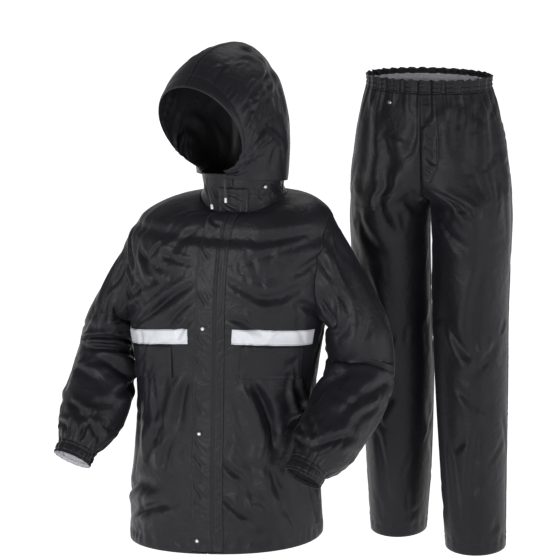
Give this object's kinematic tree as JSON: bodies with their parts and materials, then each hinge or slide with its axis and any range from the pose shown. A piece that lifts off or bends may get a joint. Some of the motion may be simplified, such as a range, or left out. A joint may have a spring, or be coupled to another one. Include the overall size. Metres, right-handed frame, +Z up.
{
  "type": "rain suit",
  "caption": "Two-piece hooded rain suit of coated cloth, jacket with storm flap and reflective tape beside its elastic-waist trousers, filled out with no wearer.",
  "frame": {"origin": "middle of the jacket's neck opening, level with the neck ends of the shoulder seams", "axes": "+Z up; both garments face -Y; +X towards the wearer's left, where the trousers stand"},
  "size_m": [0.9062, 0.606, 1.1228],
  "materials": {
    "jacket_cloth": "coated, satin sheen",
    "trouser_cloth": "coated, satin sheen",
    "reflective_tape": "satin silver grey",
    "snap_metal": "satin",
    "cord_black": "matt woven",
    "cord_tip": "gloss"
  },
  "bodies": {
    "root": {"jacket_back": "jacket_cloth", "jacket_front_left": "jacket_cloth", "jacket_front_right": "jacket_cloth", "sleeve_left": "jacket_cloth", "sleeve_right": "jacket_cloth", "cuff_left": "jacket_cloth", "cuff_right": "jacket_cloth", "collar": "jacket_cloth", "hood_left": "jacket_cloth", "hood_right": "jacket_cloth", "storm_flap": "jacket_cloth", "chest_flap_left": "jacket_cloth", "chest_flap_right": "jacket_cloth", "trouser_back_left": "trouser_cloth", "trouser_back_right": "trouser_cloth", "trouser_front_left": "trouser_cloth", "trouser_front_right": "trouser_cloth", "waist_casing": "trouser_cloth", "fly_flap": "trouser_cloth", "tape_left": "reflective_tape", "tape_right": "reflective_tape", "snap_flap_1": "snap_metal", "snap_flap_2": "snap_metal", "snap_flap_3": "snap_metal", "snap_collar": "snap_metal", "snap_waist": "snap_metal", "hood_cord_left": "cord_black", "hood_cord_right": "cord_black", "cord_end_left": "cord_tip", "cord_end_right": "cord_tip"}
  },
  "joints": []
}
